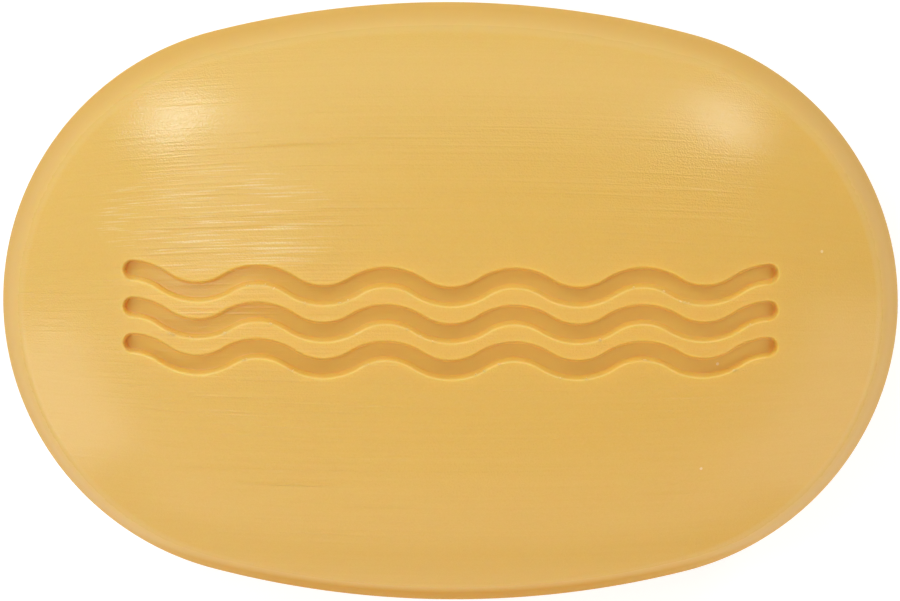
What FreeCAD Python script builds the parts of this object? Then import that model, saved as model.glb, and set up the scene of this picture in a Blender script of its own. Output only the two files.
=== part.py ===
import FreeCAD, Part
import math
import os

from FreeCAD import Vector

# A die-stamped oval bar of soap, pressed in one piece from a single billet.
# Millimetres and degrees. X runs along the bar, Y across it and Z up.
# The origin is the middle of the flat that the bar rests on.

# Outline at the parting line, where the two halves of the die met: a four-centre oval.
length = 92.0
width = 62.0
side_radius = 97.0

# Half section, from the parting line up to the top of the crown.
wall_height = 4.2
wall_draft = 18.0
dome_rise = 5.5
shoulder_rise = 5.3

# The narrow upright land where the dies met, how far the crease is eased to each side, and how much
# of the lower crown is pressed flat to rest on.
parting_land = 0.6
crease_ease = 0.8
foot_cut = 0.8

# Ornament sunk into the upper face: plain parallel waves, one below the other.
wave_lines = 3
wave_spacing = 3.7
half_wave_count = 10
half_wave_length = 6.4
wave_rise = 0.95
groove_width = 1.4
groove_depth = 1.1

# The groove walls lean outwards by this much at the rim, over this much of their depth.
rim_lean = 0.35
rim_lean_depth = 0.8

# How many points the crown surface is drawn through, along and across the bar.
crown_points_along = 13
crown_points_across = 11

# How far working blocks and surfaces run past the bar, how near an edge's points lie to the crown when
# it belongs there, and how closely edges are merged.
overrun = 1.1
clear_of_bar = 5.0
near_crown = 0.2
merge = 0.002

half_length = length / 2
half_width = width / 2
half_height = wall_height + dome_rise + shoulder_rise
parting_z = half_height - foot_cut
wall_slope = math.tan(math.radians(wall_draft))
crease_inset = (wall_height - parting_land / 2) * wall_slope
crease_half_length = half_length - crease_inset
crease_half_width = half_width - crease_inset
side_centre = side_radius - half_width
end_radius = (half_width * (side_radius + side_centre) - half_length ** 2) / (2 * (side_radius - half_length))
end_centre = half_length - end_radius


def oval_joint(inset):
    """Where the end arc of the oval, moved inwards by inset, runs into its long side arc."""
    reach = (side_radius - inset) / math.hypot(end_centre, side_centre)
    return reach * end_centre, (reach - 1) * side_centre


def oval_wire(inset, z):
    """The oval moved inwards by inset, as four tangent arcs at height z."""
    a = half_length - inset
    b = half_width - inset
    x, y = oval_joint(inset)
    right = Part.Arc(Vector(x, -y, z), Vector(a, 0, z), Vector(x, y, z))
    back = Part.Arc(Vector(x, y, z), Vector(0, b, z), Vector(-x, y, z))
    left = Part.Arc(Vector(-x, y, z), Vector(-a, 0, z), Vector(-x, -y, z))
    front = Part.Arc(Vector(-x, -y, z), Vector(0, -b, z), Vector(x, -y, z))
    return Part.Wire([arc.toShape() for arc in (right, back, left, front)])


def fullness():
    """How far the crown's contour bulges past an ellipse, so that it meets the oval's arc joints."""
    x, y = oval_joint(crease_inset)
    x_share = (x / crease_half_length) ** 2
    y_share = (y / crease_half_width) ** 2
    return (x_share + y_share - 1) / (x_share * y_share)


contour_fullness = fullness()


def crown_height(x, y):
    """Height of the crown above the parting line: a gentle dome plus a rounder shoulder."""
    x_share = (x / crease_half_length) ** 2
    y_share = (y / crease_half_width) ** 2
    reach = x_share + y_share - contour_fullness * x_share * y_share
    return wall_height + dome_rise * (1 - reach) + shoulder_rise * (1 - reach ** 2)


def crown_face(lowered):
    """The crown as one smooth surface above the parting plane, moved down by lowered."""
    rows = []
    for i in range(crown_points_along):
        x = half_length * overrun * (2 * i / (crown_points_along - 1) - 1)
        row = []
        for j in range(crown_points_across):
            y = half_width * overrun * (2 * j / (crown_points_across - 1) - 1)
            row.append(Vector(x, y, parting_z + crown_height(x, y) - lowered))
        rows.append(row)
    surface = Part.BSplineSurface()
    surface.interpolate(rows)
    return surface.toShape()


def space_above_crown(lowered):
    """Everything above the crown, or above the crown moved down by lowered."""
    deepest = crown_height(half_length * overrun, half_width * overrun)
    return crown_face(lowered).extrude(Vector(0, 0, half_height - deepest + clear_of_bar))


def on_crown(edge):
    """Whether both ends and the middle of an edge lie on the upper crown."""
    first, last = edge.ParameterRange
    points = [edge.valueAt(first + share * (last - first)) for share in (0, 0.5, 1)]
    return all(abs(p.z - parting_z - crown_height(p.x, p.y)) < near_crown for p in points)


def upper_half():
    """Parting land, drafted wall, crown and the eased crease between wall and crown."""
    land_top = parting_land / 2
    block_top = half_height + clear_of_bar
    sections = [(0, 0), (0, land_top), ((block_top - land_top) * wall_slope, block_top)]
    block = Part.makeLoft([oval_wire(inset, parting_z + z) for inset, z in sections], True, True)
    half = block.cut(space_above_crown(0)).Solids[0]
    return half.makeChamfer(crease_ease, [edge for edge in half.Edges if on_crown(edge)])


def blank_bar():
    """Both halves joined at the parting line, the lower one pressed flat underneath."""
    upper = upper_half()
    lower = upper.mirror(Vector(0, 0, parting_z), Vector(0, 0, 1))
    bar = upper.fuse(lower).removeSplitter().Solids[0]
    reach_x = half_length + clear_of_bar
    reach_y = half_width + clear_of_bar
    ground = Part.makeBox(2 * reach_x, 2 * reach_y, clear_of_bar, Vector(-reach_x, -reach_y, -clear_of_bar))
    return bar.cut(ground).Solids[0]


def wave_side(line_y, offset):
    """Start, middle and end of each arc along a wave's middle line, moved sideways by offset."""
    half_chord = half_wave_length / 2
    radius = (half_chord ** 2 + wave_rise ** 2) / (2 * wave_rise)
    lean = math.asin(half_chord / radius)
    arcs = []
    for i in range(half_wave_count + 1):
        up = 1 if i % 2 == 0 else -1
        centre_x = (i - half_wave_count / 2) * half_wave_length
        centre_y = line_y + up * (wave_rise - radius)
        reach = radius + up * offset
        start = 0 if i == 0 else -lean
        end = 0 if i == half_wave_count else lean
        arcs.append([Vector(centre_x + reach * math.sin(angle), centre_y + up * reach * math.cos(angle), parting_z)
                     for angle in (start, (start + end) / 2, end)])
    return arcs


def wave_outline(line_y):
    """Closed outline of one wave's floor, with round ends."""
    above = wave_side(line_y, groove_width / 2)
    below = wave_side(line_y, -groove_width / 2)
    end_x = (half_wave_count * half_wave_length + groove_width) / 2
    left_tip = Vector(-end_x, (above[0][0].y + below[0][0].y) / 2, parting_z)
    right_tip = Vector(end_x, (above[-1][-1].y + below[-1][-1].y) / 2, parting_z)
    round_ends = [[above[0][0], left_tip, below[0][0]], [above[-1][-1], right_tip, below[-1][-1]]]
    edges = [Part.Arc(*points).toShape() for points in above + below + round_ends]
    return Part.Wire(Part.__sortEdges__(edges))


def wave_grooves():
    """What the die presses away: one groove for each wave, of even depth below the crown."""
    above_floor = space_above_crown(groove_depth)
    grooves = []
    for i in range(wave_lines):
        line_y = wave_spacing * ((wave_lines - 1) / 2 - i)
        column = Part.Face(wave_outline(line_y)).extrude(Vector(0, 0, half_height + clear_of_bar))
        grooves.append(column.common((above_floor,), merge))
    return tuple(grooves)


def rim_edges(bar):
    """The edges where the groove walls come out of the crown."""
    reach_x = half_wave_count * half_wave_length / 2 + groove_width
    reach_y = wave_spacing * (wave_lines - 1) / 2 + wave_rise + groove_width
    inside = [edge for edge in bar.Edges
              if abs(edge.CenterOfMass.x) < reach_x and abs(edge.CenterOfMass.y) < reach_y]
    return [edge for edge in inside if on_crown(edge)]


def stamped_bar():
    """The finished bar: the blank with the ornament pressed in, its walls leaning out at the rim."""
    bar = blank_bar().cut(wave_grooves(), merge).Solids[0]
    return bar.makeChamfer(rim_lean, rim_lean_depth, rim_edges(bar))


os.makedirs("parts", exist_ok=True)
soap = stamped_bar()
soap.exportStep("parts/soap_bar.step")
box = soap.optimalBoundingBox(True, False)
print("bar %.2f x %.2f x %.2f mm, %.1f cm3, valid %s" %
      (box.XLength, box.YLength, box.ZLength, soap.Volume / 1000, soap.isValid()))
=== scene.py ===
import math

import bpy
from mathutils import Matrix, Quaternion, Vector
from mathutils.geometry import delaunay_2d_cdt


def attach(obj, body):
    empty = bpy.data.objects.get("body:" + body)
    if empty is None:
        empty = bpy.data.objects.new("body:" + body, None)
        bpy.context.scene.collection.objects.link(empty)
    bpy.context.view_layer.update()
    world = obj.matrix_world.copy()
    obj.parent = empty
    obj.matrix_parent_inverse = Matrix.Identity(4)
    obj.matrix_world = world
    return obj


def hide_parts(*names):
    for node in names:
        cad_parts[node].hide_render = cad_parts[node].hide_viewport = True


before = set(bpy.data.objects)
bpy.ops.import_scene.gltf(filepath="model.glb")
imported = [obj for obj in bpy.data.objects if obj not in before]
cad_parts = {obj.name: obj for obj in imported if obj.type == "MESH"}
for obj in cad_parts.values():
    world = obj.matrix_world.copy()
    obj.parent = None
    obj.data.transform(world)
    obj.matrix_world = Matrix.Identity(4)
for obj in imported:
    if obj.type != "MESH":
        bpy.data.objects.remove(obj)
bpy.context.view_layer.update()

MM = 0.001

# Sizes of the bar, in millimetres, the same as in its source.
LENGTH = 92.0
WIDTH = 62.0
SIDE_RADIUS = 97.0
WALL_HEIGHT = 4.2
WALL_DRAFT = 18.0
DOME_RISE = 5.5
SHOULDER_RISE = 5.3
PARTING_LAND = 0.6
FOOT_CUT = 0.8
WAVE_LINES = 3
WAVE_SPACING = 3.7
HALF_WAVE_COUNT = 10
HALF_WAVE_LENGTH = 6.4
WAVE_RISE = 0.95
GROOVE_WIDTH = 1.4
GROOVE_DEPTH = 1.1
RIM_LEAN = 0.35

# What pressing and drying soften: the crease, the land, the edge of the foot and the groove edges.
CREASE_SOFTNESS = 3.0
LAND_SOFTNESS = 0.12
FOOT_SOFTNESS = 0.3
RIM_SOFTNESS = 0.5
FLOOR_SOFTNESS = 0.12

HALF_LENGTH = LENGTH / 2
HALF_WIDTH = WIDTH / 2
HALF_HEIGHT = WALL_HEIGHT + DOME_RISE + SHOULDER_RISE
PARTING_Z = HALF_HEIGHT - FOOT_CUT
WALL_SLOPE = math.tan(math.radians(WALL_DRAFT))
CREASE_INSET = (WALL_HEIGHT - PARTING_LAND / 2) * WALL_SLOPE
SIDE_CENTRE = SIDE_RADIUS - HALF_WIDTH
END_RADIUS = (HALF_WIDTH * (SIDE_RADIUS + SIDE_CENTRE) - HALF_LENGTH ** 2) / (2 * (SIDE_RADIUS - HALF_LENGTH))
END_CENTRE = HALF_LENGTH - END_RADIUS


def crown_fullness():
    """How far the crown's contour bulges past an ellipse at the joints of the oval's arcs."""
    reach = (SIDE_RADIUS - CREASE_INSET) / math.hypot(END_CENTRE, SIDE_CENTRE)
    x_share = (reach * END_CENTRE / (HALF_LENGTH - CREASE_INSET)) ** 2
    y_share = ((reach - 1) * SIDE_CENTRE / (HALF_WIDTH - CREASE_INSET)) ** 2
    return (x_share + y_share - 1) / (x_share * y_share)


# Plan of the bar, drawn flat: rings that follow the oval, loops that follow each groove, and a grid between.

def oval_ring(inset, steps):
    """Points of the oval moved inwards by inset, anticlockwise from its right end."""
    turn = math.atan2(SIDE_CENTRE, END_CENTRE)
    end_share = END_RADIUS * turn
    side_share = SIDE_RADIUS * (math.pi / 2 - turn)
    end_steps = round(steps / 4 * end_share / (end_share + side_share))
    side_steps = steps // 4 - end_steps
    quarter = []
    for i in range(end_steps):
        angle = turn * i / end_steps
        reach = END_RADIUS - inset
        quarter.append((END_CENTRE + reach * math.cos(angle), reach * math.sin(angle)))
    for i in range(side_steps):
        angle = turn + (math.pi / 2 - turn) * i / side_steps
        reach = SIDE_RADIUS - inset
        quarter.append((reach * math.cos(angle), reach * math.sin(angle) - SIDE_CENTRE))
    top = (0.0, HALF_WIDTH - inset)
    right_up = quarter[1:]
    ring = [quarter[0]] + right_up + [top]
    ring += [(-x, y) for x, y in reversed(right_up)]
    ring += [(-quarter[0][0], 0.0)]
    ring += [(-x, -y) for x, y in right_up] + [(0.0, inset - HALF_WIDTH)]
    ring += [(x, -y) for x, y in reversed(right_up)]
    return ring


def wave_loop(line_y, offset, arc_steps, cap_steps):
    """Closed loop at a fixed distance from a wave's middle line, anticlockwise, with round ends."""
    half_chord = HALF_WAVE_LENGTH / 2
    radius = (half_chord ** 2 + WAVE_RISE ** 2) / (2 * WAVE_RISE)
    lean = math.asin(half_chord / radius)
    above, below = [], []
    for i in range(HALF_WAVE_COUNT + 1):
        up = 1 if i % 2 == 0 else -1
        centre_x = (i - HALF_WAVE_COUNT / 2) * HALF_WAVE_LENGTH
        centre_y = line_y + up * (WAVE_RISE - radius)
        start = 0.0 if i == 0 else -lean
        end = 0.0 if i == HALF_WAVE_COUNT else lean
        steps = round(arc_steps * (end - start) / (2 * lean))
        for j in range(steps + (i == HALF_WAVE_COUNT)):
            angle = start + (end - start) * j / steps
            for side, sign in ((above, 1), (below, -1)):
                reach = radius + up * sign * offset
                side.append((centre_x + reach * math.sin(angle), centre_y + up * reach * math.cos(angle)))
    end_x = HALF_WAVE_COUNT * HALF_WAVE_LENGTH / 2
    end_y = line_y + WAVE_RISE
    right_cap, left_cap = [], []
    for j in range(1, cap_steps):
        angle = math.pi * j / cap_steps
        right_cap.append((end_x + offset * math.sin(angle), end_y - offset * math.cos(angle)))
        left_cap.append((-end_x - offset * math.sin(angle), end_y + offset * math.cos(angle)))
    return below + right_cap + list(reversed(above)) + left_cap


def wave_distance(x, y, line_y):
    """Distance from a wave's middle line."""
    half_chord = HALF_WAVE_LENGTH / 2
    radius = (half_chord ** 2 + WAVE_RISE ** 2) / (2 * WAVE_RISE)
    end_x = HALF_WAVE_COUNT * half_chord
    if abs(x) > end_x:
        return math.hypot(abs(x) - end_x, y - line_y - WAVE_RISE)
    nearest = 1e9
    first = round(x / HALF_WAVE_LENGTH + HALF_WAVE_COUNT / 2)
    for i in (first - 1, first, first + 1):
        up = 1 if i % 2 == 0 else -1
        centre_x = (i - HALF_WAVE_COUNT / 2) * HALF_WAVE_LENGTH
        centre_y = line_y + up * (WAVE_RISE - radius)
        across, along = x - centre_x, up * (y - centre_y)
        if along > 0 and abs(math.atan2(across, along)) <= math.asin(half_chord / radius) + 1e-4:
            nearest = min(nearest, abs(math.hypot(across, along) - radius))
    return nearest


class Plan:
    """A flat mesh in the making, with each point's side of the bar and distance from the nearest groove."""

    def __init__(self):
        self.points = []
        self.side = []
        self.groove = []
        self.lip = []
        self.faces = []

    def add(self, ring, side, groove, lip=0):
        """Points of a ring or loop, the first so many of them on a lower lip; returns their numbers."""
        start = len(self.points)
        self.points.extend(ring)
        self.side.extend([side] * len(ring))
        self.groove.extend(groove)
        self.lip.extend([1.0] * lip + [0.0] * (len(ring) - lip))
        return list(range(start, start + len(ring)))

    def bridge(self, outer, inner):
        """Quads between two rings of as many points, both anticlockwise."""
        for i in range(len(outer)):
            j = (i + 1) % len(outer)
            self.faces.append((outer[i], outer[j], inner[j], inner[i]))


FAR = 99.0
RING_STEPS = 440
WALL_INSETS = [0.015, 0.03, 0.055, 0.09, 0.14, 0.22, 0.34, 0.48, 0.62, 0.76, 0.88, 0.98, 1.07, 1.16, 1.25,
               1.34, 1.44, 1.55, 1.67, 1.8, 1.95, 2.12, 2.32, 2.56, 2.86, 3.22, 3.66, 4.2, 4.8, 5.4, 6.0]
WAVE_OFFSETS = [1.5, 1.36, 1.24, 1.16, 1.1, 1.05, 1.0, 0.95, 0.89, 0.83, 0.78, 0.74, 0.7, 0.65, 0.58, 0.48]
ARC_STEPS = 18
CAP_STEPS = 10


def half_plan(plan, side, spacing, with_waves):
    """One half of the bar: rings inwards from the parting line, then a grid, with the grooves' loops in it."""
    rings = [oval_ring(inset, RING_STEPS) for inset in WALL_INSETS]
    numbers = [plan.add(ring, side, [FAR] * len(ring)) for ring in rings]
    for outer, inner in zip(numbers, numbers[1:]):
        plan.bridge(outer, inner)
    field = list(rings[-1])
    ids = list(numbers[-1])
    loops = [list(range(len(field)))]
    line_ys = [WAVE_SPACING * ((WAVE_LINES - 1) / 2 - i) for i in range(WAVE_LINES)] if with_waves else []
    for line_y in line_ys:
        rows = [wave_loop(line_y, offset, ARC_STEPS, CAP_STEPS) for offset in WAVE_OFFSETS]
        lower = HALF_WAVE_COUNT * ARC_STEPS
        row_numbers = [plan.add(row, side, [offset] * len(row), lower if 0.95 < offset < 1.12 else 0)
                       for row, offset in zip(rows, WAVE_OFFSETS)]
        for outer, inner in zip(row_numbers, row_numbers[1:]):
            plan.bridge(outer, inner)
        for row, row_ids in ((rows[0], row_numbers[0]), (rows[-1], row_numbers[-1])):
            loops.append(list(range(len(field), len(field) + len(row))))
            field.extend(row)
            ids.extend(row_ids)
    # Grid points inside the last ring, clear of the grooves' loops.
    limit = WALL_INSETS[-1] + 0.55 * spacing
    wave_limit = WAVE_OFFSETS[0] + 0.5 * spacing
    grid = []
    for i in range(-int(HALF_LENGTH / spacing), int(HALF_LENGTH / spacing) + 1):
        for j in range(-int(HALF_WIDTH / spacing), int(HALF_WIDTH / spacing) + 1):
            x, y = i * spacing, (j + 0.5) * spacing
            if oval_inset(x, y) > limit and all(wave_distance(x, y, ly) > wave_limit for ly in line_ys):
                grid.append((x, y))
    distances = [min([wave_distance(x, y, ly) for ly in line_ys], default=FAR) for x, y in grid]
    ids.extend(plan.add(grid, side, distances))
    field.extend(grid)
    edges = [(loop[k], loop[(k + 1) % len(loop)]) for loop in loops for k in range(len(loop))]
    made = delaunay_2d_cdt([Vector(p) for p in field], edges, [loops[0]], 1, 1e-6, True)
    if len(made[0]) != len(field):
        raise ValueError("the plan's loops cross")
    for triangle in made[2]:
        corners = [made[3][k][0] for k in triangle]
        x = sum(field[k][0] for k in corners) / 3
        y = sum(field[k][1] for k in corners) / 3
        reach = min([wave_distance(x, y, ly) for ly in line_ys], default=FAR)
        if reach > WAVE_OFFSETS[0] - 0.004 or reach < WAVE_OFFSETS[-1]:
            plan.faces.append(tuple(ids[k] for k in corners))
    return numbers[0]


def oval_inset(x, y):
    """Distance inwards from the outline."""
    x, y = abs(x), abs(y)
    if (x - END_CENTRE) * SIDE_CENTRE > y * END_CENTRE:
        return END_RADIUS - math.hypot(x - END_CENTRE, y)
    return SIDE_RADIUS - math.hypot(x, y + SIDE_CENTRE)


def plan_mesh():
    """Both halves in one flat mesh, joined along the parting line."""
    plan = Plan()
    top_ring = half_plan(plan, 1.0, 0.62, True)
    split = len(plan.faces)
    low_ring = half_plan(plan, -1.0, 1.3, False)
    plan.faces[split:] = [tuple(reversed(face)) for face in plan.faces[split:]]
    for i in range(len(top_ring)):
        j = (i + 1) % len(top_ring)
        plan.faces.append((low_ring[i], low_ring[j], top_ring[j], top_ring[i]))
    mesh = bpy.data.meshes.new("bar_plan")
    mesh.from_pydata([(x * MM, y * MM, 0.0) for x, y in plan.points], [], plan.faces)
    for name, values in (("side", plan.side), ("groove", [d * MM for d in plan.groove]), ("lip", plan.lip)):
        layer = mesh.attributes.new(name, "FLOAT", "POINT")
        layer.data.foreach_set("value", values)
    return mesh


# The tree that lifts the flat plan into the pressed bar.

class Sums:
    """Arithmetic on a tree's sockets, one node a step."""

    def __init__(self, tree):
        self.tree = tree

    def node(self, kind, inputs=(), **settings):
        made = self.tree.nodes.new(kind)
        for name, value in settings.items():
            setattr(made, name, value)
        for key, value in dict(inputs).items():
            self.feed(made.inputs[key], value)
        return made

    def feed(self, socket, value):
        if isinstance(value, bpy.types.NodeSocket):
            self.tree.links.new(value, socket)
        else:
            socket.default_value = value

    def math(self, operation, *values):
        made = self.tree.nodes.new("ShaderNodeMath")
        made.operation = operation
        for socket, value in zip(made.inputs, values):
            self.feed(socket, value)
        return made.outputs[0]

    def add(self, a, b):
        return self.math("ADD", a, b)

    def less(self, a, b):
        return self.math("SUBTRACT", a, b)

    def times(self, a, b):
        return self.math("MULTIPLY", a, b)

    def over(self, a, b):
        return self.math("DIVIDE", a, b)

    def square(self, a):
        return self.math("MULTIPLY", a, a)

    def length(self, a, b):
        return self.math("SQRT", self.add(self.square(a), self.square(b)))


BAR_SIZES = {
    "Length": LENGTH * MM,
    "Width": WIDTH * MM,
    "Side Radius": SIDE_RADIUS * MM,
    "End Radius": END_RADIUS * MM,
    "Parting Height": PARTING_Z * MM,
    "Parting Land": PARTING_LAND * MM,
    "Wall Height": WALL_HEIGHT * MM,
    "Wall Slope": WALL_SLOPE,
    "Crease Inset": CREASE_INSET * MM,
    "Dome Rise": DOME_RISE * MM,
    "Shoulder Rise": SHOULDER_RISE * MM,
    "Crown Fullness": crown_fullness(),
    "Crease Softness": CREASE_SOFTNESS * MM,
    "Land Softness": LAND_SOFTNESS * MM,
    "Foot Softness": FOOT_SOFTNESS * MM,
    "Groove Depth": GROOVE_DEPTH * MM,
    "Groove Floor": GROOVE_WIDTH * MM,
    "Rim Lean": RIM_LEAN * MM,
    "Rim Softness": RIM_SOFTNESS * MM,
    "Floor Softness": FLOOR_SOFTNESS * MM,
    "Unevenness": 0.05 * MM,
    "Crumb Share": 0.1,
    "Crumb Size": 0.16 * MM,
    "Grain Seed": 4.0,
}


def pressed_bar_tree(soap, crumbs_finish):
    """Node tree: height of every point of the plan from the bar's half section, its grooves and its foot."""
    tree = bpy.data.node_groups.new("pressed_bar", "GeometryNodeTree")
    tree.interface.new_socket("Plan", in_out="INPUT", socket_type="NodeSocketGeometry")
    for name, value in BAR_SIZES.items():
        socket = tree.interface.new_socket(name, in_out="INPUT", socket_type="NodeSocketFloat")
        socket.default_value = value
    tree.interface.new_socket("Bar", in_out="OUTPUT", socket_type="NodeSocketGeometry")
    s = Sums(tree)
    given = s.node("NodeGroupInput").outputs
    place = s.node("ShaderNodeSeparateXYZ", {0: s.node("GeometryNodeInputPosition").outputs[0]}).outputs
    x, y = place[0], place[1]
    side = s.node("GeometryNodeInputNamedAttribute", {"Name": "side"}, data_type="FLOAT").outputs[0]
    groove = s.node("GeometryNodeInputNamedAttribute", {"Name": "groove"}, data_type="FLOAT").outputs[0]

    # Distance inwards from the four-centre oval.
    far_x, far_y = s.math("ABSOLUTE", x), s.math("ABSOLUTE", y)
    half_length, half_width = s.over(given["Length"], 2.0), s.over(given["Width"], 2.0)
    end_centre = s.less(half_length, given["End Radius"])
    side_centre = s.less(given["Side Radius"], half_width)
    past_end = s.less(far_x, end_centre)
    at_end = s.math("GREATER_THAN", s.times(past_end, side_centre), s.times(far_y, end_centre))
    end_inset = s.less(given["End Radius"], s.length(past_end, far_y))
    side_inset = s.less(given["Side Radius"], s.length(far_x, s.add(far_y, side_centre)))
    inset = s.math("MAXIMUM", s.add(s.times(at_end, end_inset), s.times(s.less(1.0, at_end), side_inset)), 0.0)

    # Drafted wall that starts at the rounded land.
    turned = s.math("MINIMUM", s.over(inset, given["Land Softness"]), 1.0)
    nose = s.math("SQRT", s.math("MAXIMUM", s.less(1.0, s.square(s.less(1.0, turned))), 0.0))
    land = s.times(s.over(given["Parting Land"], 2.0), nose)
    wall = s.add(land, s.over(inset, given["Wall Slope"]))

    # Crown: a gentle dome and a rounder shoulder.
    x_share = s.square(s.over(x, s.less(half_length, given["Crease Inset"])))
    y_share = s.square(s.over(y, s.less(half_width, given["Crease Inset"])))
    reach = s.less(s.add(x_share, y_share), s.times(given["Crown Fullness"], s.times(x_share, y_share)))
    dome = s.times(given["Dome Rise"], s.less(1.0, reach))
    shoulder = s.times(given["Shoulder Rise"], s.less(1.0, s.square(reach)))
    crown = s.add(given["Wall Height"], s.add(dome, shoulder))
    height = s.math("SMOOTH_MIN", wall, crown, given["Crease Softness"])

    # Grooves: flat floor, leaning walls and rounded edges.
    rim = s.add(s.over(given["Groove Floor"], 2.0), given["Rim Lean"])
    wall_sink = s.times(s.less(rim, groove), s.over(given["Groove Depth"], given["Rim Lean"]))
    sink = s.math("SMOOTH_MIN", wall_sink, given["Groove Depth"], given["Floor Softness"])
    sink = s.math("SMOOTH_MAX", sink, 0.0, given["Rim Softness"])
    sink = s.math("MINIMUM", sink, given["Groove Depth"])

    # Slight unevenness, longer along the bar than across it, and never proud of the rule.
    bend = s.node("ShaderNodeCombineXYZ", {0: s.times(x, 55.0), 1: s.times(y, 160.0), 2: side}).outputs[0]
    wobble = s.node("ShaderNodeTexNoise", {"Vector": bend, "W": given["Grain Seed"], "Scale": 1.0, "Detail": 2.0},
                    noise_dimensions="4D").outputs[0]
    inner = s.math("MINIMUM", s.over(inset, given["Crease Inset"]), 1.0)
    uneven = s.times(s.times(wobble, given["Unevenness"]), inner)

    raised = s.times(side, s.less(s.less(height, sink), uneven))
    level = s.math("SMOOTH_MAX", s.add(given["Parting Height"], raised), 0.0, given["Foot Softness"])
    spot = s.node("ShaderNodeCombineXYZ", {0: x, 1: y, 2: level}).outputs[0]
    lifted = s.node("GeometryNodeSetPosition", {"Geometry": given["Plan"], "Position": spot}).outputs[0]
    kept = s.node("GeometryNodeStoreNamedAttribute",
                  {"Geometry": lifted, "Name": "sunk", "Value": s.over(sink, given["Groove Depth"])},
                  data_type="FLOAT", domain="POINT").outputs[0]
    near_rim = s.math("MAXIMUM", s.less(1.0, s.over(inset, s.times(given["Crease Inset"], 3.0))), 0.0)
    for name, value in (("rim", near_rim), ("shoulder", reach)):
        kept = s.node("GeometryNodeStoreNamedAttribute", {"Geometry": kept, "Name": name, "Value": value},
                      data_type="FLOAT", domain="POINT").outputs[0]

    # Crumbs that the die left on the lower lips of the grooves.
    lip = s.node("GeometryNodeInputNamedAttribute", {"Name": "lip"}, data_type="FLOAT").outputs[0]
    lot = s.node("FunctionNodeRandomValue", {"Min": 0.0, "Max": 1.0, "Seed": 11}, data_type="FLOAT")
    lot = [output for output in lot.outputs if output.enabled][0]
    cluster = s.node("ShaderNodeTexNoise", {"Vector": spot, "Scale": 260.0, "Detail": 1.0}).outputs[0]
    chosen = s.math("LESS_THAN", lot, s.times(s.times(given["Crumb Share"], lip), s.math("GREATER_THAN", cluster, 0.55)))
    size = s.node("FunctionNodeRandomValue", {"Seed": 12}, data_type="FLOAT_VECTOR")
    size.inputs[0].default_value = (0.35, 0.3, 0.25)
    size.inputs[1].default_value = (1.5, 1.0, 0.7)
    turn = s.node("FunctionNodeRandomValue", {"Seed": 13}, data_type="FLOAT_VECTOR")
    turn.inputs[0].default_value = (-0.5, -0.5, 0.0)
    turn.inputs[1].default_value = (0.5, 0.5, 6.283)
    crumb = s.node("GeometryNodeMeshIcoSphere", {"Radius": given["Crumb Size"], "Subdivisions": 2}).outputs[0]
    crumb = s.node("GeometryNodeStoreNamedAttribute", {"Geometry": crumb, "Name": "crumb", "Value": 1.0},
                   data_type="FLOAT", domain="POINT").outputs[0]
    bedded = s.node("GeometryNodeSetPosition", {"Geometry": kept, "Offset": (0.0, 0.0, -0.07 * MM)}).outputs[0]
    crumbs = s.node("GeometryNodeInstanceOnPoints", {
        "Points": bedded, "Selection": chosen, "Instance": crumb, "Rotation": turn.outputs[0],
        "Scale": size.outputs[0]}).outputs[0]
    joined = s.node("GeometryNodeJoinGeometry")
    tree.links.new(crumbs, joined.inputs[0])
    tree.links.new(kept, joined.inputs[0])
    smooth = s.node("GeometryNodeSetShadeSmooth", {"Geometry": joined.outputs[0], "Shade Smooth": True}).outputs[0]
    real = s.node("GeometryNodeRealizeInstances", {"Geometry": smooth}).outputs[0]
    dressed = s.node("GeometryNodeSetMaterial", {"Geometry": real, "Material": soap}).outputs[0]
    loose = s.math("GREATER_THAN", s.node("GeometryNodeInputNamedAttribute", {"Name": "crumb"},
                                          data_type="FLOAT").outputs[0], 0.5)
    dressed = s.node("GeometryNodeSetMaterial",
                     {"Geometry": dressed, "Selection": loose, "Material": crumbs_finish}).outputs[0]
    s.node("NodeGroupOutput", {"Bar": dressed})
    return tree


def pressed_bar(soap, crumbs_finish):
    """The bar as a plain mesh at the origin."""
    builder = bpy.data.objects.new("bar_builder", plan_mesh())
    bpy.context.scene.collection.objects.link(builder)
    modifier = builder.modifiers.new("press", "NODES")
    modifier.node_group = pressed_bar_tree(soap, crumbs_finish)
    for item in modifier.node_group.interface.items_tree:
        if item.name in BAR_SIZES:
            modifier[item.identifier] = BAR_SIZES[item.name]
    builder.update_tag()
    evaluated = builder.evaluated_get(bpy.context.evaluated_depsgraph_get())
    mesh = bpy.data.meshes.new_from_object(evaluated)
    bpy.data.objects.remove(builder)
    mesh.name = "soap_bar_pressed"
    piece = bpy.data.objects.new("soap_bar_pressed", mesh)
    bpy.context.scene.collection.objects.link(piece)
    return piece


# Materials.

def new_material(name):
    material = bpy.data.materials.new(name)
    material.use_nodes = True
    tree = material.node_tree
    tree.nodes.clear()
    return material, Sums(tree)


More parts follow.
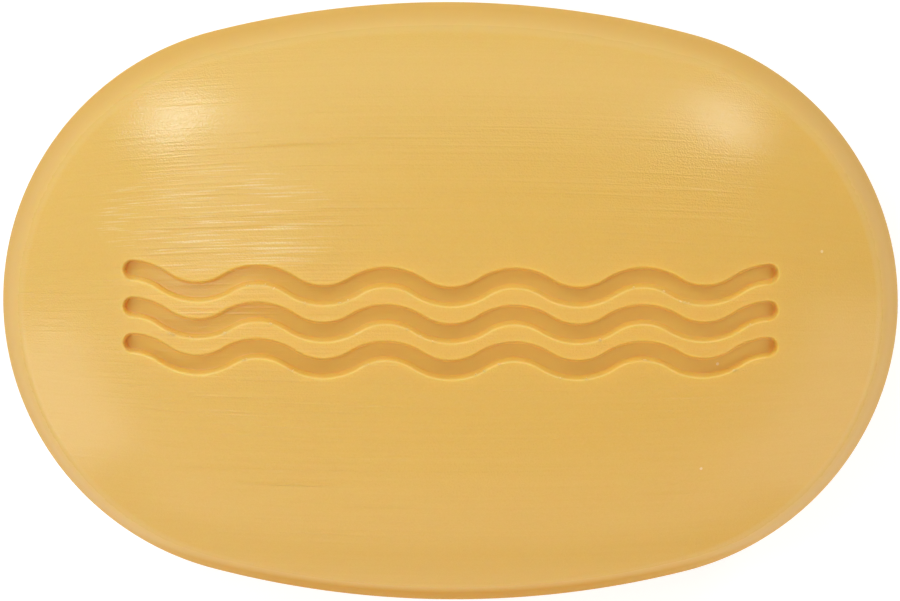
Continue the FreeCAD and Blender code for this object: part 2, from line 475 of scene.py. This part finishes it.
def soap_material():
    """Satin translucent soap with the long fine grain of the billet."""
    material, s = new_material("milled_soap")
    place = s.node("ShaderNodeTexCoord").outputs["Object"]
    parts = s.node("ShaderNodeSeparateXYZ", {0: place}).outputs
    x, y, z = parts[0], parts[1], parts[2]

    # The grain runs along the bar and bows with the crown.
    drop = s.less(HALF_HEIGHT * 2 * MM, z)
    spread = s.math("SQRT", s.add(s.square(y), (9.0 * MM) ** 2))
    bowed = s.times(y, s.add(1.0, s.over(s.times(drop, 0.24), spread)))
    across = s.add(bowed, s.times(drop, 0.18))
    lie = s.node("ShaderNodeCombineXYZ", {0: x, 1: across, 2: s.times(z, 0.12)}).outputs[0]

    def grain(along, over, detail, seed):
        """Noise drawn out along the bar: along and over are turns for each metre."""
        stretched = s.node("ShaderNodeVectorMath", {0: lie, 1: (along, over, over)}, operation="MULTIPLY").outputs[0]
        return s.node("ShaderNodeTexNoise", {"Vector": stretched, "W": seed, "Scale": 1.0, "Detail": detail,
                                             "Roughness": 0.6}, noise_dimensions="4D").outputs[0]

    fine = grain(28.0, 3200.0, 2.0, 1.0)
    coarse = grain(14.0, 620.0, 3.0, 2.0)
    broad = grain(9.0, 90.0, 2.0, 3.0)
    scratch = s.math("POWER", grain(34.0, 2400.0, 1.0, 5.0), 5.0)
    pores = s.node("ShaderNodeTexNoise", {"Vector": place, "Scale": 6000.0, "Detail": 1.0}).outputs[0]

    sunk = s.node("ShaderNodeAttribute", attribute_name="sunk").outputs["Fac"]
    tone = s.add(s.add(s.times(fine, 0.35), s.times(pores, 0.6)), s.add(s.times(coarse, 0.25), s.times(broad, 0.15)))
    ground = s.node("ShaderNodeValToRGB", {"Fac": tone})
    ramp = ground.color_ramp
    ramp.elements[0].position = 0.47
    ramp.elements[0].color = (0.700, 0.425, 0.088, 1.0)
    ramp.elements[1].position = 0.87
    ramp.elements[1].color = (0.740, 0.470, 0.118, 1.0)
    # Painted light: the bar is painted paler towards the upper left and deeper towards the lower right, as if lit more
    # from the upper left.
    toward_upper_left = s.node("ShaderNodeMapRange", {"Value": s.less(s.times(y, 0.4), s.times(x, 0.6)), "From Min": -0.03,
                                          "From Max": 0.03}).outputs[0]
    painted_light_side = s.node("ShaderNodeMix", {"Factor": toward_upper_left, 6: (0.71, 0.395, 0.05, 1.0), 7: (0.75, 0.495, 0.15, 1.0)},
                   data_type="RGBA").outputs[2]
    grain_and_painted_light = s.node("ShaderNodeMix", {"Factor": 0.32, 6: ground.outputs[0], 7: painted_light_side}, data_type="RGBA").outputs[2]
    # Painted light: the groove floors are painted a deeper, lighter orange, standing in for the light that glows
    # through the soap into the grooves.
    painted_groove_glow = s.node("ShaderNodeMix", {"Factor": s.times(sunk, 0.9), 6: grain_and_painted_light,
                                    7: (0.81, 0.49, 0.095, 1.0)}, data_type="RGBA").outputs[2]

    # Painted highlight: the lower lips of the grooves are painted paler, a thin line of reflected light along them.
    lip = s.node("ShaderNodeAttribute", attribute_name="lip").outputs["Fac"]
    painted_lip_highlight = s.node("ShaderNodeMix", {"Factor": s.times(s.times(lip, fine), 0.4), 6: painted_groove_glow,
                                      7: (0.90, 0.70, 0.32, 1.0)}, data_type="RGBA").outputs[2]

    # Tiny pale specks.
    cells = s.node("ShaderNodeTexVoronoi", {"Vector": place, "Scale": 210.0, "Randomness": 1.0})
    chance = s.node("ShaderNodeTexWhiteNoise", {"Vector": cells.outputs["Position"]}).outputs[0]
    near = s.math("LESS_THAN", cells.outputs["Distance"], 0.035)
    speck = s.times(near, s.math("GREATER_THAN", chance, 0.86))
    # Painted shade: the wall band round the rim is painted a darker orange, darker still along the front edge; the
    # same mask also makes the rim's roughness duller.
    near_rim = s.node("ShaderNodeAttribute", attribute_name="rim").outputs["Fac"]
    rim = s.math("MAXIMUM", s.less(s.times(near_rim, 1.58), 0.58), 0.0)
    crease = s.math("MAXIMUM", s.less(1.0, s.square(s.over(s.less(near_rim, 0.5), 0.22))), 0.0)
    front = s.node("ShaderNodeMapRange", {"Value": y, "From Min": -0.030, "From Max": -0.023},
                   interpolation_type="SMOOTHSTEP").outputs[0]
    rim_shade_and_dullness = s.math("MINIMUM", s.times(rim, s.less(2.6, s.times(front, 1.3))), 1.0)
    edge = s.node("ShaderNodeMix", {"Factor": front, 6: (0.58, 0.28, 0.04, 1.0), 7: (0.67, 0.37, 0.06, 1.0)},
                  data_type="RGBA").outputs[2]
    # Painted highlight: a pale line painted along the crease, except at the front.
    painted_crease_highlight = s.node("ShaderNodeMix", {"Factor": s.times(s.times(crease, front), 0.45), 6: painted_lip_highlight, 7: (0.75, 0.53, 0.20, 1.0)},
                   data_type="RGBA").outputs[2]
    edged = s.node("ShaderNodeMix", {"Factor": rim_shade_and_dullness, 6: painted_crease_highlight, 7: edge}, data_type="RGBA").outputs[2]

    # Painted highlight: short pale glints along the grain, painted in a patch left of the middle.
    patch_x, patch_y = s.over(s.add(x, 0.0235), 0.0128), s.over(s.less(y, 0.0098), 0.0058)
    patch = s.math("MAXIMUM", s.less(1.0, s.add(s.square(patch_x), s.square(patch_y))), 0.0)
    dashes = s.node("ShaderNodeMapRange", {"Value": grain(90.0, 5200.0, 1.0, 7.0), "From Min": 0.52,
                                           "From Max": 0.70}, interpolation_type="SMOOTHSTEP").outputs[0]
    painted_glints = s.times(s.times(dashes, s.add(0.2, pores)), s.math("SQRT", patch))
    edged = s.node("ShaderNodeMix", {"Factor": s.times(painted_glints, 0.6), 6: edged, 7: (0.92, 0.80, 0.52, 1.0)},
                   data_type="RGBA").outputs[2]
    colour = s.node("ShaderNodeMix", {"Factor": s.times(speck, 0.5), 6: edged, 7: (0.92, 0.78, 0.5, 1.0)},
                    data_type="RGBA").outputs[2]

    # The crown is scuffed by handling, the shoulder keeps the smoother skin of the die.
    shoulder = s.node("ShaderNodeAttribute", attribute_name="shoulder").outputs["Fac"]
    scuffed = s.node("ShaderNodeMapRange", {"Value": shoulder, "From Min": 0.5, "From Max": 0.72, "To Min": 1.15,
                                            "To Max": 0.42}, interpolation_type="SMOOTHSTEP").outputs[0]
    handled = s.node("ShaderNodeMapRange", {"Value": x, "From Min": -0.016, "From Max": 0.002, "To Min": 1.3,
                                            "To Max": 0.55}, interpolation_type="SMOOTHSTEP").outputs[0]
    scratches = s.times(scratch, s.times(s.times(scuffed, handled), 6.2))
    lines = s.add(s.add(s.times(fine, 0.7), s.times(coarse, 0.4)), scratches)
    relief = s.times(s.add(lines, s.times(pores, 1.0)), scuffed)
    open_face = s.less(1.0, s.math("MINIMUM", s.add(s.times(sunk, 0.7), s.times(rim, 3.0)), 0.9))
    bump = s.node("ShaderNodeBump", {"Height": s.times(relief, open_face), "Strength": 0.6, "Distance": 0.00006})
    dull_edge = s.times(rim_shade_and_dullness, s.less(0.65, s.times(front, 0.3)))
    satin = s.add(s.add(0.09, s.times(scuffed, 0.065)), s.times(s.add(coarse, fine), 0.07))
    roughness = s.add(satin, dull_edge)
    skin = s.node("ShaderNodeBsdfPrincipled", {
        "Base Color": colour, "Roughness": roughness, "Normal": bump.outputs[0],
        "IOR": 1.46, "Subsurface Weight": 0.6, "Subsurface Radius": (1.0, 0.45, 0.12), "Subsurface Scale": 0.004,
        "Specular IOR Level": 0.33})
    s.node("ShaderNodeOutputMaterial", {"Surface": skin.outputs[0]})
    return material


def crumb_material():
    """Dry crumbs of the same soap, paler and duller than the bar."""
    material, s = new_material("soap_crumbs")
    place = s.node("ShaderNodeTexCoord").outputs["Object"]
    mottle = s.node("ShaderNodeTexNoise", {"Vector": place, "Scale": 900.0, "Detail": 2.0}).outputs[0]
    ground = s.node("ShaderNodeValToRGB", {"Fac": mottle})
    ground.color_ramp.elements[0].position = 0.35
    ground.color_ramp.elements[0].color = (0.74, 0.48, 0.15, 1.0)
    ground.color_ramp.elements[1].position = 0.65
    ground.color_ramp.elements[1].color = (0.86, 0.64, 0.28, 1.0)
    skin = s.node("ShaderNodeBsdfPrincipled", {"Base Color": ground.outputs[0], "Roughness": 0.55, "IOR": 1.46})
    s.node("ShaderNodeOutputMaterial", {"Surface": skin.outputs[0]})
    return material


def paper_material():
    """White paper: plain to the light, and white to the camera apart from the bar's soft shadow."""
    material, s = new_material("white_paper")
    paper = s.node("ShaderNodeBsdfDiffuse", {"Color": (0.6, 0.6, 0.6, 1.0)})
    ray = s.node("ShaderNodeLightPath").outputs
    seen = s.math("MAXIMUM", ray["Is Camera Ray"], s.math("MAXIMUM", ray["Is Glossy Ray"], ray["Is Transmission Ray"]))
    lift = s.node("ShaderNodeEmission", {"Color": (1.0, 1.0, 1.0, 1.0), "Strength": s.times(seen, 0.60)})
    both = s.node("ShaderNodeAddShader", {0: paper.outputs[0], 1: lift.outputs[0]})
    s.node("ShaderNodeOutputMaterial", {"Surface": both.outputs[0]})
    return material


# Stage.

CAMERA_LEAN = 8.0
CAMERA_ROLL = 0.37
CAMERA_DISTANCE = 500.0
CAMERA_TARGET = (-0.05, 0.27, PARTING_Z)
LENS = 194.5


def floor():
    """A plain sheet of paper under the bar."""
    reach = 3.0
    mesh = bpy.data.meshes.new("paper_floor")
    mesh.from_pydata([(-reach, -reach, 0), (reach, -reach, 0), (reach, reach, 0), (-reach, reach, 0)], [],
                     [(0, 1, 2, 3)])
    mesh.materials.append(paper_material())
    piece = bpy.data.objects.new("paper_floor", mesh)
    bpy.context.scene.collection.objects.link(piece)


def camera():
    """Long lens over the bar, leaning a little past the vertical towards its back."""
    data = bpy.data.cameras.new("camera")
    data.lens = LENS
    data.sensor_width = 36.0
    data.clip_start = 0.01
    data.clip_end = 20.0
    thing = bpy.data.objects.new("camera", data)
    bpy.context.scene.collection.objects.link(thing)
    lean = math.radians(CAMERA_LEAN)
    roll = math.radians(CAMERA_ROLL)
    back = Vector((-math.sin(roll) * math.sin(lean), math.cos(roll) * math.sin(lean), math.cos(lean)))
    thing.location = (Vector(CAMERA_TARGET) + CAMERA_DISTANCE * back) * MM
    thing.rotation_euler = (-lean, 0.0, roll)
    bpy.context.scene.camera = thing


def softbox(name, towards, distance, size, power, colour=(1.0, 1.0, 1.0), turn=0.0):
    """Rectangular lamp that faces the bar from a direction, turned about it by so many degrees."""
    data = bpy.data.lights.new(name, "AREA")
    data.shape = "RECTANGLE"
    data.size, data.size_y = size
    data.energy = power
    data.color = colour
    lamp = bpy.data.objects.new(name, data)
    bpy.context.scene.collection.objects.link(lamp)
    direction = Vector(towards).normalized()
    lamp.location = direction * distance + Vector((0.0, 0.0, PARTING_Z * MM))
    turned = direction.to_track_quat("Z", "Y") @ Quaternion((0.0, 0.0, 1.0), math.radians(turn))
    lamp.rotation_euler = turned.to_euler()


def studio():
    """Two small softboxes behind the bar for the highlights, wide ones behind and in front, a strip overhead, and an
    even white room.
    """
    softbox("left_softbox", (-0.54, 0.67, 0.52), 0.9, (0.24, 0.03), 1.5, (0.72, 0.95, 1.0), 36.0)
    softbox("right_softbox", (0.54, 0.67, 0.52), 0.9, (0.28, 0.03), 1.05, (0.82, 0.97, 1.0), -42.0)
    softbox("back_softbox", (0.0, 0.85, 0.5), 0.9, (1.4, 0.6), 3.8, (1.0, 0.96, 0.87))
    softbox("crown_softbox", (-0.456, 0.218, 0.861), 0.9, (0.5, 0.05), 1.7)
    softbox("front_left_softbox", (-0.80, -0.42, 0.36), 0.9, (0.5, 0.4), 2.0)
    softbox("front_right_softbox", (0.80, -0.45, 0.36), 0.9, (0.7, 0.5), 2.4, (1.0, 0.96, 0.90))
    softbox("front_softbox", (0.0, -0.85, 0.5), 0.9, (1.2, 0.5), 2.85, (1.0, 0.92, 0.8))
    world = bpy.data.worlds.new("white_room")
    bpy.context.scene.world = world
    world.use_nodes = True
    world.node_tree.nodes.clear()
    s = Sums(world.node_tree)
    ray = s.node("ShaderNodeLightPath").outputs
    seen = s.math("MAXIMUM", ray["Is Camera Ray"], s.math("MAXIMUM", ray["Is Glossy Ray"], ray["Is Transmission Ray"]))
    room = s.node("ShaderNodeBackground", {"Color": (1.0, 1.0, 1.0, 1.0), "Strength": 0.30})
    white = s.node("ShaderNodeBackground", {"Color": (1.0, 1.0, 1.0, 1.0), "Strength": 1.0})
    mixed = s.node("ShaderNodeMixShader", {0: seen, 1: room.outputs[0], 2: white.outputs[0]})
    s.node("ShaderNodeOutputWorld", {"Surface": mixed.outputs[0]})


bpy.context.scene.view_settings.view_transform = "Standard"
camera()
floor()
studio()

bar = pressed_bar(soap_material(), crumb_material())
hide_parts("soap_bar")
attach(bar, "root")
